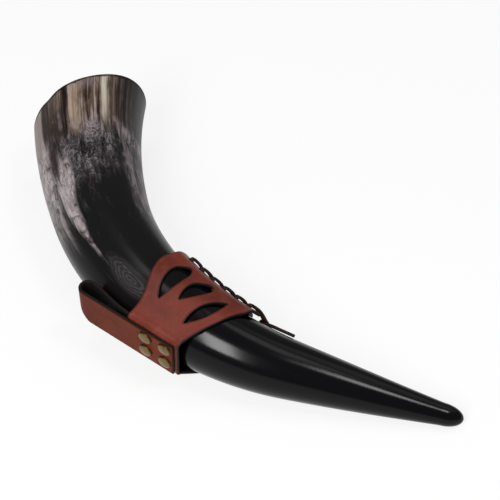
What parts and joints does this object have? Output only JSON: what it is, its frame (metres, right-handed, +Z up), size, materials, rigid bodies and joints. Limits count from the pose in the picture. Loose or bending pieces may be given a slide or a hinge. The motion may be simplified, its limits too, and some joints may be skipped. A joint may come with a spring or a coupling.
{
  "type": "drinking horn",
  "caption": "Curved polished drinking horn carried in a laced leather sleeve with crescent cut-outs, whose folded strap is riveted on as a belt loop.",
  "frame": {"origin": "bottom centre of the bounding box, on the surface that the horn lies on", "axes": "+X along the belt loop strap towards the tip, +Y to the inside of the bend and the lacing, +Z up off the surface; the strap faces -Y and the mouth is at -X"},
  "size_m": [0.3448, 0.177, 0.0738],
  "materials": {
    "horn": "polished natural horn, near black with tan and grey streaks at the mouth",
    "sleeve_leather": "smooth red-brown vegetable-tanned leather with black edges and flesh side",
    "strap_leather": "smooth brown leather with black edges and flesh side",
    "antique_brass": "darkened antique brass",
    "lace_cord": "dark brown waxed cord"
  },
  "bodies": {
    "holder": {"holder_sleeve": "sleeve_leather", "belt_loop_strap": "strap_leather", "rivet_post_1": "antique_brass", "rivet_cap_1": "antique_brass", "rivet_post_2": "antique_brass", "rivet_cap_2": "antique_brass", "rivet_post_3": "antique_brass", "rivet_cap_3": "antique_brass", "rivet_post_4": "antique_brass", "rivet_cap_4": "antique_brass", "lace": "lace_cord"},
    "horn": {"horn_shell": "horn"}
  },
  "joints": [
    {"name": "draw_out", "type": "hinge", "parent": "holder", "child": "horn", "pos_m": [0.02754, 0.1498, 0.00972], "axis": [-0.1119, -0.0728, -0.991], "range_deg": [0, 70]}
  ]
}
